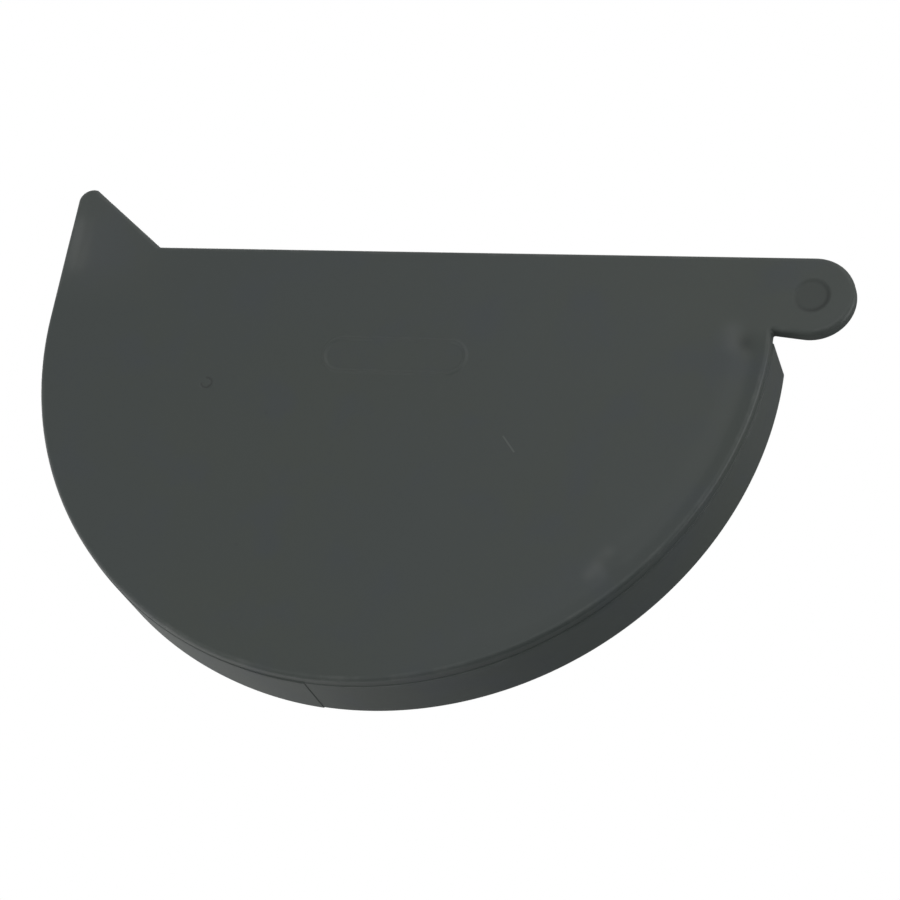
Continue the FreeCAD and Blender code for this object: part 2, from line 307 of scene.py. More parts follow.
class CapMarks(bpy.types.PropertyGroup):
    """What the moulding left on the front face, with painted light and painted shade on it."""
    recess_radius: length_property("Recess", "Round recess in the bead disc", 3.35 * MM)
    recess_depth: length_property("Recess depth", "Depth of that recess", 0.22 * MM)
    recess_wall: length_property("Recess wall", "Width of the recess's sloping wall", 0.75 * MM)
    # Half width of the painted shade at the recess's foot.
    foot_shade_line: length_property("Grime line", "Half width of the dirt at the recess's foot", 0.75 * MM)
    sink_radius: length_property("Sink radius", "Middle of the sunk band in front of the rib", 63.3 * MM)
    sink_depth: length_property("Sink depth", "Depth of the sunk band", 0.5 * MM)
    sink_spread: length_property("Sink spread", "Half width of the sunk band", 1.5 * MM)
    dimple_place: place_property("Dimple", "Sunk spot near the notch", (62.0 * MM, -1.8 * MM))
    dimple_depth: length_property("Dimple depth", "Depth of that spot", 0.3 * MM)
    dimple_spread: length_property("Dimple spread", "Half width of that spot", 0.9 * MM)
    dimple_stretch: level_property("Dimple stretch", "How much longer than wide that spot is", 1.4)
    spot_place: place_property("Spot", "Sunk spot at the lower front", (43.7 * MM, -43.4 * MM))
    spot_depth: length_property("Spot depth", "Depth of that spot", 0.4 * MM)
    spot_spread: length_property("Spot spread", "Half width of that spot", 1.2 * MM)
    ring_place: place_property("Ring", "Open ring left by a mould pin", (-33.1 * MM, -12.3 * MM))
    ring_radius: length_property("Ring radius", "Radius of that ring", 0.95 * MM)
    ring_depth: length_property("Ring depth", "Depth of that ring", 0.14 * MM)
    ring_line: length_property("Ring line", "Half width of the ring's line", 0.4 * MM)
    panel_place: place_property("Panel", "Blank panel outline in the plate", (0.7 * MM, -6.0 * MM))
    panel_length: length_property("Panel length", "Length of that outline", 25.8 * MM)
    panel_width: length_property("Panel width", "Width of that outline", 6.4 * MM)
    panel_height: length_property("Panel height", "Height of the outline's line", 0.2 * MM)
    panel_line: length_property("Panel line", "Half width of the outline's line", 0.55 * MM)
    trough_depth: length_property("Trough depth", "Depth of the sunk band along the ear's edge", 0.55 * MM)
    trough_place: length_property("Trough place", "Middle of that band, from the gutter's axis", 63.6 * MM)
    trough_spread: length_property("Trough spread", "Half width of that band", 1.1 * MM)
    bow: length_property("Bow", "Slight hollow of the whole plate", 0.15 * MM)
    # Painted light: how much paler the ear is made, and the painted highlight streaks with their places.
    ear_light_level: share_property("Ear cast", "How much paler the ear is", 0.2)
    streak_highlight_level: share_property("Streaks", "How much paler the stressed streaks are", 0.36)
    streak_spread: length_property("Streak spread", "Half width of a stressed streak", 1.2 * MM)
    ear_streak_top: place_property("Ear streak top", "Upper end of the ear's streak",
                                   (-64.8 * MM, 18.8 * MM))
    ear_streak_foot: place_property("Ear streak foot", "Lower end of the ear's streak",
                                    (-63.6 * MM, 11.5 * MM))
    front_streak_top: place_property("Front streak top", "Upper end of the streak beside the dimple",
                                     (59.6 * MM, 0.6 * MM))
    front_streak_foot: place_property("Front streak foot", "Lower end of the streak beside the dimple",
                                      (60.1 * MM, -1.8 * MM))
    low_streak_top: place_property("Low streak top", "Upper end of the streak beside the spot",
                                   (44.0 * MM, -41.0 * MM))
    low_streak_foot: place_property("Low streak foot", "Lower end of the streak beside the spot",
                                    (41.2 * MM, -45.2 * MM))
    scratch_start: place_property("Scratch start", "Upper end of the scratch", (22.75 * MM, -20.7 * MM))
    scratch_end: place_property("Scratch end", "Lower end of the scratch", (25.05 * MM, -23.5 * MM))
    speck_upper: place_property("Upper speck", "Dark speck in the plastic", (-20.7 * MM, -17.9 * MM))
    speck_lower: place_property("Lower speck", "Dark speck in the plastic", (-21.2 * MM, -42.9 * MM))


class CapFinish(bpy.types.PropertyGroup):
    """Colours and gloss of the plastic, and of its painted highlights and painted shade."""
    base: colour_property("Base", "Colour of the plastic", (0.0375, 0.0452, 0.0432))
    green: colour_property("Green cast", "Colour of the warmer patches", (0.0385, 0.0460, 0.0410))
    blue: colour_property("Blue cast", "Colour of the cooler patches", (0.0370, 0.0445, 0.0465))
    # Also the colour of the painted light on the ear and in the highlight streaks.
    scuff_and_highlight: colour_property("Scuff", "Colour of rubbed edges, streaks and scratch", (0.085, 0.092, 0.088))
    # Colour of the painted shade in the grooves and the recess.
    grime: colour_property("Grime", "Colour of the dirt in grooves", (0.016, 0.018, 0.017))
    roughness: share_property("Roughness", "Roughness of the moulded skin", 0.46)
    sheen_level: share_property("Specular", "Strength of the skin's reflection", 0.3)
    skin_depth: length_property("Skin depth", "Depth of the skin's unevenness", 0.03 * MM)


class CapStudio(bpy.types.PropertyGroup):
    """Camera, light and floor."""
    aim: place_property("Aim", "Point that the camera looks at", (13.86 * MM, -2.4 * MM, -23.67 * MM))
    distance: length_property("Distance", "From the aim to the camera", 475.2 * MM)
    azimuth: angle_property("Azimuth", "Turn of the camera towards +X", 18.9)
    elevation: angle_property("Elevation", "Rise of the camera over the aim", -23.66)
    roll: angle_property("Roll", "Turn of the camera about its line of sight", 10.04)
    lens: FloatProperty(name="Lens", description="Focal length in millimetres", default=112, min=1,
                        subtype="DISTANCE_CAMERA", unit="CAMERA")
    floor_drop: length_property("Floor", "Floor's depth under the axis", 400 * MM)
    floor_colour: colour_property("Floor colour", "Pale floor", (0.82, 0.82, 0.82))
    floor_level: level_property("Floor glow", "Brightness of the floor in reflections", 1.0)
    floor_shade: level_property("Floor shade", "The same to the front right", 0.05)
    floor_lift: share_property("Floor lift", "Share of that glow that the camera sees", 0.65)
    card_level: level_property("Card", "Brightness of the grey card that the rim reflects", 0.25)
    ambient: level_property("Ambient", "Even light from all round", 0.2)
    key: power_property("Key", "Power of the key lamp", 2.23)
    right: power_property("Right", "Power of the right lamp", 2.12)
    front: power_property("Front", "Power of the low front lamp", 0.65)
    left: power_property("Left", "Power of the left lamp", 0.62)
    back: power_property("Back", "Power of the low lamp behind", 0.2)
    rear: power_property("Rear", "Power of the high lamp behind", 1.4)


def smooth_step(low, high, value):
    """0 up to low, 1 from high on, and 3 t^2 - 2 t^3 of the share t between them."""
    share = np.clip((value - low) / (high - low), 0.0, 1.0)
    return share * share * (3.0 - 2.0 * share)


def hump(distance, spread):
    """A bell: e to the power of minus half the square of distance over spread."""
    return np.exp(-0.5 * (distance / spread) ** 2)


def bead_line(distance, half_width):
    """The section of a soft line: a raised cosine, 1 in its middle and 0 at its half width."""
    return 0.5 + 0.5 * np.cos(np.pi * np.clip(distance / half_width, -1.0, 1.0))


def distance_from(place, x, z):
    """Distance from an (x, z) place."""
    return np.hypot(x - place[0], z - place[1])


class Straight:
    """A straight stretch of an edge, from one (x, z) point to another."""

    def __init__(self, start, end):
        self.start = np.array(start)
        self.step = np.array(end) - self.start
        self.length = math.hypot(*self.step)
        self.turn = 0.0

    def walk(self, share):
        """start + share * step; the inward side lies a quarter turn to the left of the step."""
        across, up = self.step / self.length
        inward = np.broadcast_to((-up, across), (len(share), 2))
        return self.start + share[:, None] * self.step, inward


class Round:
    """An arc of an edge about an (x, z) centre, from one angle to another."""

    def __init__(self, centre, radius, first, last):
        self.centre = np.array(centre)
        self.radius = radius
        self.first = first
        self.last = last
        self.turn = abs(last - first)
        self.length = radius * self.turn

    def walk(self, share):
        """centre + radius * spoke; inward is to the centre on a left turn, and away from it on a right."""
        angle = self.first + share * (self.last - self.first)
        spoke = np.stack((np.cos(angle), np.sin(angle)), axis=1)
        return self.centre + self.radius * spoke, spoke * (-1.0 if self.last > self.first else 1.0)


def circle(centre, radius):
    """A whole turn about a centre, as an edge of one stretch."""
    return [Round(centre, radius, 0, 2 * math.pi)]


def offset(point, angle, distance):
    """The (x, z) point at a distance from another, at an angle."""
    return (point[0] + distance * math.cos(angle), point[1] + distance * math.sin(angle))


def bearing(start, end):
    """The angle of the line from one (x, z) point to another."""
    return math.atan2(end[1] - start[1], end[0] - start[0])


def tangent_lean(first, first_radius, second, second_radius):
    """How far a straight edge that passes between two arcs, touching both, leans from their centre line."""
    return math.asin((first_radius + second_radius) / math.dist(first, second))


class Layout:
    """Places that follow from the cap's sizes."""

    def __init__(self, sizes):
        self.plate_radius = sizes.rim_radius - sizes.plate_setback
        self.notch = (self.plate_radius + sizes.notch_radius, sizes.riser_height)
        self.bead = (sizes.front_reach - sizes.bead_radius, sizes.bead_height)
        self.top = sizes.bead_height + sizes.bead_radius
        self.tip = (sizes.ear_tip_radius - self.plate_radius, sizes.tip_height - sizes.ear_tip_radius)
        self.foot = (sizes.ear_width - self.plate_radius, self.top + sizes.ear_foot_radius)


def plate_edge(sizes, layout):
    """The plate's edge, counterclockwise as seen from the front, from the ear's tip down the rear edge.

    After the rear edge come the half round, riser, notch, disc's underside, disc, top edge and ear.
    """
    radius, tip, foot = layout.plate_radius, layout.tip, layout.foot
    notch, bead = layout.notch, layout.bead
    slope = (bearing(foot, tip) - math.pi / 2
             + tangent_lean(foot, sizes.ear_foot_radius, tip, sizes.ear_tip_radius))
    under = (bearing(notch, bead) + math.pi / 2
             - tangent_lean(notch, sizes.notch_radius, bead, sizes.bead_radius))
    return [
        Straight((-radius, tip[1]), (-radius, 0)),
        Round((0, 0), radius, math.pi, 2 * math.pi),
        Straight((radius, 0), (radius, sizes.riser_height)),
        Round(notch, sizes.notch_radius, math.pi, under),
        Straight(offset(notch, under, sizes.notch_radius), offset(bead, under, -sizes.bead_radius)),
        Round(bead, sizes.bead_radius, under - math.pi, math.pi / 2),
        Straight((bead[0], layout.top), (foot[0], layout.top)),
        Round(foot, sizes.ear_foot_radius, 1.5 * math.pi, slope + math.pi),
        Straight(offset(foot, slope, -sizes.ear_foot_radius), offset(tip, slope, sizes.ear_tip_radius)),
        Round(tip, sizes.ear_tip_radius, slope, math.pi),
    ]


def stretch_ends(stretches):
    """Distances along an edge at which its stretches start, and its whole length."""
    return np.cumsum([0.0] + [stretch.length for stretch in stretches])


def stations(stretches, step, turn, extra=(), clear=0.0):
    """Distances along an edge, near enough for its bends, with extra ones that the others keep clear of."""
    runs = []
    for stretch, start in zip(stretches, stretch_ends(stretches)):
        count = math.ceil(max(stretch.length / step, stretch.turn / turn))
        runs.append(start + stretch.length * np.arange(count) / count)
    even = np.concatenate(runs)
    extra = np.array(extra, float)
    if len(extra):
        even = even[np.abs(even[:, None] - extra).min(axis=1) > clear]
    return np.sort(np.concatenate((even, extra)))


def walk(stretches, distances):
    """Points and inward normals at distances along an edge."""
    ends = stretch_ends(stretches)
    which = np.clip(np.searchsorted(ends, distances, side="right") - 1, 0, len(stretches) - 1)
    points = np.zeros((len(distances), 2))
    inward = np.zeros((len(distances), 2))
    for number, stretch in enumerate(stretches):
        here = which == number
        share = (distances[here] - ends[number]) / stretch.length
        points[here], inward[here] = stretch.walk(share)
    return points, inward


class Wall:
    """Where a wall behind the plate starts and ends along the edge, with rounded ends."""
    STEP = 0.02 * MM

    def __init__(self, start, end, end_round):
        self.start = start
        self.end = end
        self.end_round = end_round

    def stations(self):
        """Distances just outside each end, and on the quarter round inside it."""
        inside = np.concatenate(([-self.STEP], self.end_round * SMALL_RISE))
        return np.concatenate((self.start + inside, self.end - inside))

    def depth(self, distances):
        """How far inside the wall's ends a distance lies; below zero outside them."""
        return np.minimum(distances - self.start, self.end - distances)

    def stands(self, distances):
        """Whether the wall is there, as a column."""
        return self.depth(distances)[:, None] >= -self.STEP / 2

    def inset(self, distances):
        """How far the wall's faces draw in near its ends, as a column: r - sqrt(r^2 - (r - depth)^2)."""
        short = np.clip(self.end_round - self.depth(distances), 0, self.end_round)
        return (self.end_round - np.sqrt(self.end_round ** 2 - short ** 2))[:, None]


def cap_walls(sizes, layout, rear_length):
    """The rim and the rib, each from the rear edge down and round the half round to the front."""
    front_turn = math.pi - math.asin(sizes.end_drop / layout.plate_radius)
    front_end = rear_length + layout.plate_radius * front_turn
    rim_start = layout.tip[1] - sizes.tip_height + sizes.rim_below_tip
    rib_start = layout.tip[1] - layout.top + sizes.rib_below_top
    return Wall(rim_start, front_end, sizes.end_round), Wall(rib_start, front_end, sizes.end_round)


class Section:
    """Rows of points across the edge, for every station: inward distance, depth Y and wear as an edge."""

    def __init__(self, count):
        self.count = count
        self.inward = []
        self.depth = []
        self.edge = []

    def add(self, inward, depth, edge=0.0):
        """Add rows; what doesn't change from station to station is spread over all of them."""
        inward, depth = np.broadcast_arrays(np.asarray(inward, float), np.asarray(depth, float))
        shape = (self.count, inward.shape[-1] if inward.ndim else 1)
        self.inward.append(np.broadcast_to(inward, shape))
        self.depth.append(np.broadcast_to(depth, shape))
        self.edge.append(np.full(shape, edge))

    def flatten(self, first, present, low, high):
        """Where a wall is absent, lay its rows, from the given one on, flat on the plate's back."""
        inward = np.concatenate(self.inward[first:], axis=1)
        depth = np.concatenate(self.depth[first:], axis=1)
        edge = np.concatenate(self.edge[first:], axis=1)
        flat = np.linspace(0, 1, inward.shape[1]) * (high - low) + low
        self.inward[first:] = [np.where(present, inward, flat)]
        self.depth[first:] = [np.where(present, depth, 0.0)]
        self.edge[first:] = [np.where(present, edge, 0.0)]

    def arrays(self):
        """The rows side by side."""
        return (np.concatenate(rows, axis=1) for rows in (self.inward, self.depth, self.edge))


def plate_rows(section, sizes, lap, hollow):
    """The plate's edge: the face's rounding, the edge that laps out, and the corner behind it.

    That corner is hollow where the rim stands proud, and rounded, with a negative hollow, where it doesn't.
    """
    radius = sizes.face_round
    section.add(radius + EDGE_STRIP - lap, -sizes.plate_thick)
    section.add(radius * FALL - lap, radius * RISE - sizes.plate_thick, 1.0)
    section.add(-lap, [radius + EDGE_STRIP - sizes.plate_thick, -sizes.back_round - EDGE_STRIP])
    section.add(-hollow * SMALL_RISE - lap, -np.abs(hollow) * SMALL_FALL)


def rim_rows(section, sizes, distances, rim, proud, step):
    """The rim: its corner at the step, outside, rounded back edge, chamfer, inside and root."""
    first = len(section.inward)
    inset = rim.inset(distances)
    inside = sizes.rim_wall - sizes.plate_setback
    outer = inset - sizes.plate_setback - proud[:, None]
    inner = inside - inset
    back = sizes.rim_depth - inset
    radius = STEP_ROUND * step
    section.add(outer + radius * SMALL_FALL, np.abs(radius) * SMALL_RISE, 1.0)
    section.add(outer, RIM_ROWS * sizes.rim_depth)
    radius = sizes.rim_round
    section.add(outer + radius * RISE, back - radius * FALL, 1.0)
    section.add(inner - sizes.mouth_chamfer, back, CHAMFER_WEAR)
    section.add(inner, back - sizes.mouth_chamfer, CHAMFER_WEAR)
    radius = sizes.root_round
    section.add(inner + radius * SMALL_RISE, radius * SMALL_FALL)
    section.flatten(first, rim.stands(distances), sizes.back_round + EDGE_STRIP, inside - sizes.end_round)


def rib_rows(section, sizes, distances, rib):
    """The rib: its root, outside, chamfer, top, rounded inner edge, inside and root, and a last row."""
    first = len(section.inward)
    inset = rib.inset(distances)
    outer = sizes.rim_wall - sizes.plate_setback + sizes.groove_width
    inner = outer + sizes.rib_wall
    top = sizes.rib_height - inset
    radius = sizes.root_round
    section.add(outer + inset - radius * SMALL_FALL, radius * SMALL_RISE)
    section.add(outer + inset, top - sizes.mouth_chamfer, CHAMFER_WEAR)
    section.add(outer + inset + sizes.mouth_chamfer, top, CHAMFER_WEAR)
    section.add(inner - inset - radius * SMALL_FALL, top - radius * SMALL_RISE, RIB_WEAR)
    section.add(inner - inset + radius * SMALL_RISE, radius * SMALL_FALL)
    section.flatten(first, rib.stands(distances),
                    outer + sizes.end_round - radius, inner - sizes.end_round + radius)
    section.add([inner + LAST_ROW * radius], 0.0)


def edge_section(sizes, distances, rim, rib, proud, lap):
    """The section round the plate's edge, from the face, over the edge, rim and rib, to the plate's back.

    Each rounding is a quarter circle, and each wall's faces draw in by its inset near its ends. The plate's
    edge laps out over the step, and where the step is negative its roundings turn the other way.
    """
    section = Section(len(distances))
    lap = lap[:, None]
    step = sizes.plate_setback - lap - rim.inset(distances)
    plate_rows(section, sizes, lap, np.where(rim.stands(distances), STEP_HOLLOW * step, -sizes.back_round))
    rim_rows(section, sizes, distances, rim, proud, step)
    rib_rows(section, sizes, distances, rib)

    inward, depth, edge = section.arrays()
    # Away from the rib the rows close up, so that they don't fold over in the ear's tip and the bead.
    floor_start = sizes.rim_wall - sizes.plate_setback + sizes.root_round
    room = ROWS_CLOSED + (1 - ROWS_CLOSED) * smooth_step(*ROWS_SPREAD, rib.depth(distances))[:, None]
    inward = np.where(inward > floor_start, floor_start + (inward - floor_start) * room, inward)
    return inward, depth, edge


def panel_edge(marks):
    """The blank panel's outline: two straights and two half rounds."""
    x, z = marks.panel_place
    radius = marks.panel_width / 2
    half = marks.panel_length / 2 - radius
    return [
        Straight((x - half, z - radius), (x + half, z - radius)),
        Round((x + half, z), radius, -math.pi / 2, math.pi / 2),
        Straight((x + half, z + radius), (x - half, z + radius)),
        Round((x - half, z), radius, math.pi / 2, 1.5 * math.pi),
    ]


def panel_distance(marks, x, z):
    """Distance from the panel's outline: to the nearest point of its middle line, less its half width."""
    across = np.maximum(np.abs(x - marks.panel_place[0]) - (marks.panel_length - marks.panel_width) / 2, 0)
    return np.hypot(across, z - marks.panel_place[1]) - marks.panel_width / 2


def ring_distance(marks, x, z):
    """Distance from the pin ring's middle line, below zero inside it."""
    return distance_from(marks.ring_place, x, z) - marks.ring_radius


def ring_groove(marks, x, z):
    """The pin ring's groove, 0 to 1: a raised cosine across its middle line, run out at the ring's gap."""
    opening = np.cos(np.arctan2(z - marks.ring_place[1], x - marks.ring_place[0]) - RING_GAP)
    return bead_line(ring_distance(marks, x, z), marks.ring_line) * smooth_step(*RING_RUN_OUT, opening)


def face_relief(marks, layout, x, z):
    """How far the front face lies back at (x, z).

    It is a sum of bells for the sunk marks and raised cosines for the lines, with a smooth step at the
    recess's wall. The panel's line stands proud, so it is taken off.
    """
    sink = hump(np.hypot(x, z) - marks.sink_radius, marks.sink_spread)
    sink = sink * smooth_step(*SINK_FRONT, x) * smooth_step(*SINK_BELOW, z)
    dimple_x, dimple_z = marks.dimple_place
    dimple = hump(np.hypot(x - dimple_x, (z - dimple_z) / marks.dimple_stretch), marks.dimple_spread)
    recess_foot = marks.recess_radius - marks.recess_wall
    recess = smooth_step(marks.recess_radius, recess_foot, distance_from(layout.bead, x, z))
    trough = hump(x + marks.trough_place, marks.trough_spread) * hump(z - TROUGH_HEIGHT, TROUGH_LENGTH)
    return (
        marks.sink_depth * sink
        + marks.dimple_depth * dimple
        + marks.spot_depth * hump(distance_from(marks.spot_place, x, z), marks.spot_spread)
        + marks.ring_depth * ring_groove(marks, x, z)
        - marks.panel_height * bead_line(panel_distance(marks, x, z), marks.panel_line)
        + marks.recess_depth * recess
        + marks.trough_depth * trough
        + marks.bow * hump(distance_from((0, BOW_HEIGHT), x, z), BOW_SPREAD)
    )


def face_hollow_shade(marks, layout, x, z):
    """How much painted shade lies at (x, z): in the pin ring, the dimple and the recess.

    It is a sum of the ring's groove, a bell at the dimple, a raised cosine round the recess's foot, which
    is stronger on one side, and a smooth step over the recess's floor.
    """
    from_bead = distance_from(layout.bead, x, z)
    foot = from_bead - marks.recess_radius + FOOT_SHARE * marks.recess_wall
    side = 0.5 + 0.5 * np.cos(np.arctan2(z - layout.bead[1], x - layout.bead[0]) - FOOT_SIDE)
    floor_edge = marks.recess_radius - FLOOR_WALLS * marks.recess_wall
    return (
        RING_SHADE * ring_groove(marks, x, z)
        + DIMPLE_SHADE * hump(distance_from(marks.dimple_place, x, z), marks.dimple_spread)
        + bead_line(foot, marks.foot_shade_line) * (FOOT_SHADE + FOOT_SIDE_SHADE * side)
        + RECESS_FLOOR_SHADE * smooth_step(marks.recess_radius, floor_edge, from_bead)
    )


def streak(start, end, spread, x, z):
    """A soft streak: a bell over the distance from the straight line between two (x, z) points."""
    step_x, step_z = end[0] - start[0], end[1] - start[1]
    away_x, away_z = x - start[0], z - start[1]
    share = np.clip((away_x * step_x + away_z * step_z) / (step_x ** 2 + step_z ** 2), 0, 1)
    return hump(np.hypot(away_x - share * step_x, away_z - share * step_z), spread)


def face_painted_light(marks, x, z):
    """How much painted light lies at (x, z): paler towards the ear's tip, and three painted highlight
    streaks.
    """
    # Painted light towards the ear's tip, and painted highlights along three streaks.
    cast = smooth_step(*EAR_LIGHT_ACROSS, x) * smooth_step(*EAR_LIGHT_UP, z)
    streaks = (
        streak(marks.ear_streak_top, marks.ear_streak_foot, EAR_STREAK * marks.streak_spread, x, z)
        + streak(marks.front_streak_top, marks.front_streak_foot, marks.streak_spread, x, z)
        + streak(marks.low_streak_top, marks.low_streak_foot, LOW_STREAK * marks.streak_spread, x, z)
    )
    return marks.ear_light_level * cast + marks.streak_highlight_level * streaks


def rows_beside(stretches, step, offsets=(0.0,)):
    """Points of rows that run along an edge, or beside it at the given offsets."""
    points, inward = walk(stretches, stations(stretches, step, ROW_TURN))
    return (points[:, None, :] + inward[:, None, :] * np.asarray(offsets)[None, :, None]).reshape(-1, 2)


def within(ring, points, margin):
    """Which points lie inside a closed ring of points and farther than a margin from each of them.

    A point is inside where the ring crosses the line from it to +X an odd number of times.
    """
    x, z = points[:, :1], points[:, 1:]
    after = np.roll(ring, -1, axis=0)
    rises = (ring[:, 1] > z) != (after[:, 1] > z)
    climb = np.where(after[:, 1] == ring[:, 1], 1.0, after[:, 1] - ring[:, 1])
    crossing = ring[:, 0] + (z - ring[:, 1]) * (after[:, 0] - ring[:, 0]) / climb
    inside = (rises & (x < crossing)).sum(axis=1) % 2 == 1
    gap = np.hypot(x - ring[:, 0], z - ring[:, 1]).min(axis=1)
    return inside & (gap > margin)


def staggered(ring, step):
    """A field of points in staggered rows, as corners of equal triangles, that fills a ring."""
    low, high = ring.min(axis=0), ring.max(axis=0)
    rise = step * math.sqrt(3) / 2
    columns = np.arange(low[0], high[0], step)
    rows = np.arange(low[1], high[1], rise)
    x, z = np.meshgrid(columns, rows)
    x = x + step / 2 * (np.arange(len(rows)) % 2)[:, None]
    points = np.stack((x.ravel(), z.ravel()), axis=1)
    return points[within(ring, points, FIELD_MARGIN * step)]


def front_points(marks, layout, ring):
    """The points of the front face: a staggered field, and finer rows along the recess, ring and panel."""
    field = staggered(ring, FRONT_STEP)
    x, z = field[:, 0], field[:, 1]
    bare = np.abs(panel_distance(marks, x, z)) > marks.panel_line + PANEL_CLEAR
    bare &= ring_distance(marks, x, z) > marks.ring_line + RING_CLEAR
    bare &= distance_from(layout.bead, x, z) > marks.recess_radius + RECESS_CLEAR

    wall = marks.recess_wall
    recess_rows = [*RECESS_LIP, *(share * wall for share in RECESS_WALL_ROWS), wall + RECESS_INSIDE]
    fine = [
        rows_beside(panel_edge(marks), PANEL_STEP, LINE_ROWS * marks.panel_line),
        rows_beside(circle(marks.ring_place, marks.ring_radius), RING_STEP, LINE_ROWS * marks.ring_line),
        rows_beside(circle(layout.bead, marks.recess_radius), RECESS_STEP, recess_rows),
    ]
    fine += [rows_beside(circle(marks.ring_place, share * marks.ring_radius), RING_STEP)
             for share in RING_CIRCLES]
    fine += [rows_beside(circle(layout.bead, share * marks.recess_radius), RECESS_FLOOR_STEP)
             for share in RECESS_CIRCLES]
    return np.concatenate([field[bare]] + fine)


def fill(ring, inner):
    """Triangles between a closed ring of points and the points inside it, counted in that order.

    Meanwhile each point lies farther from the ring's middle by a share that grows with its distance squared:
    the ring's straight stretches then bow inwards and leave no empty slivers.
    """
    points = np.concatenate((ring, inner)) - ring.mean(axis=0)
    reach = (points ** 2).sum(axis=1, keepdims=True)
    points = points * (1 + FILL_BOW * reach / reach.max())
    count = len(ring)
    sides = np.stack((np.arange(count), (np.arange(count) + 1) % count), axis=1)
    corners = [Vector(point) for point in (points / MM).tolist()]
    inside_only = 1
    result = delaunay_2d_cdt(corners, sides.tolist(), [], inside_only, MERGE_DISTANCE)
    made, _, triangles, sources = result[:4]
    if len(made) != len(points):
        raise RuntimeError("the face's points run into each other")
    order = np.array([source[0] for source in sources])
    return order[np.array(triangles)]


def put_mesh(name, points, polygons):
    """A mesh from an array of points and arrays of polygons, each array with one number of corners."""
    mesh = bpy.data.meshes.new(name)
    sizes = np.concatenate([np.full(len(group), group.shape[1]) for group in polygons])
    corners = np.concatenate([group.ravel() for group in polygons])
    mesh.vertices.add(len(points))
    mesh.vertices.foreach_set("co", points.astype(np.float32).ravel())
    mesh.loops.add(len(corners))
    mesh.loops.foreach_set("vertex_index", corners.astype(np.int32))
    mesh.polygons.add(len(sizes))
    mesh.polygons.foreach_set("loop_start", (np.cumsum(sizes) - sizes).astype(np.int32))
    mesh.polygons.foreach_set("use_smooth", np.ones(len(sizes), bool))
    mesh.update(calc_edges=True)
    return mesh


def cap_mesh(sizes, marks):
    """The whole moulding: the edge section carried round the plate's edge, and the two faces inside it.

    A point of the edge grid is edge point + inward distance * inward normal, at the section's depth.
    The front face is -plate_thick + face_relief over its points, and the back is flat. The edge laps out
    by the mould's shift along its outward normal, and the rim is proud up to its witness line.
    """
    layout = Layout(sizes)
    edge_path = plate_edge(sizes, layout)
    rear_length = edge_path[0].length
    rim, rib = cap_walls(sizes, layout, rear_length)
    witness = rear_length + layout.plate_radius * WITNESS_ANGLE
    witness_top = witness - WITNESS_WIDTH
    extra = np.unique(np.concatenate((rim.stations(), rib.stations(), (witness_top, witness))))
    distances = stations(edge_path, STATION_STEP, STATION_TURN, extra, STATION_CLEAR)
    proud = sizes.witness_height * (smooth_step(witness, witness_top, distances)
                                    * smooth_step(witness - sizes.witness_fade, witness, distances))
    points, inward_normal = walk(edge_path, distances)
    shifted = smooth_step(0, sizes.shift_fade, rim.depth(distances))
    lap = -shifted * (inward_normal @ np.array(sizes.mould_shift))
    inward, depth, edge = edge_section(sizes, distances, rim, rib, proud, lap)

    flat = points[:, None, :] + inward[:, :, None] * inward_normal[:, None, :]
    on_face = np.clip(1 - (depth + sizes.plate_thick) / sizes.face_round, 0, 1)
    depth = depth + on_face * face_relief(marks, layout, flat[..., 0], flat[..., 1])
    grid = np.stack((flat[..., 0], depth, flat[..., 1]), axis=2)

    front_ring, back_ring = flat[:, 0], flat[:, -1]
    front = front_points(marks, layout, front_ring)
    back = staggered(back_ring, BACK_STEP)
    front_depth = face_relief(marks, layout, front[:, 0], front[:, 1]) - sizes.plate_thick
    face = np.stack((front[:, 0], front_depth, front[:, 1]), axis=1)
    rear = np.stack((back[:, 0], np.zeros(len(back)), back[:, 1]), axis=1)

    number = np.arange(depth.size).reshape(depth.shape)
    after = np.roll(number, -1, axis=0)
    quads = np.stack((number[:, :-1], number[:, 1:], after[:, 1:], after[:, :-1]), axis=2).reshape(-1, 4)
    front_numbers = np.concatenate((number[:, 0], number.size + np.arange(len(face))))
    back_numbers = np.concatenate((number[:, -1], number.size + len(face) + np.arange(len(rear))))
    front_faces = front_numbers[fill(front_ring, front)]
    back_faces = back_numbers[fill(back_ring, back)][:, ::-1]
    mesh = put_mesh("cap_moulding", np.concatenate((grid.reshape(-1, 3), face, rear)),
                    [quads, front_faces, back_faces])

    # The first look is wear on the edges, the second painted shade in the hollows, and the third painted
    # light: a paler ear and highlight streaks.
    looks = {
        "rubbed": (edge, np.zeros(len(face))),
        "grime": (np.zeros(edge.shape), face_hollow_shade(marks, layout, front[:, 0], front[:, 1])),
        "pale": (on_face * face_painted_light(marks, flat[..., 0], flat[..., 1]),
                 face_painted_light(marks, front[:, 0], front[:, 1])),
    }
    for name, (edge_values, face_values) in looks.items():
        values = np.concatenate((edge_values.ravel(), face_values, np.zeros(len(rear))))
        mesh.attributes.new(name, "FLOAT", "POINT").data.foreach_set("value", values.astype(np.float32))
    mesh.set_sharp_from_angle(angle=SHARP_ANGLE)
    return mesh


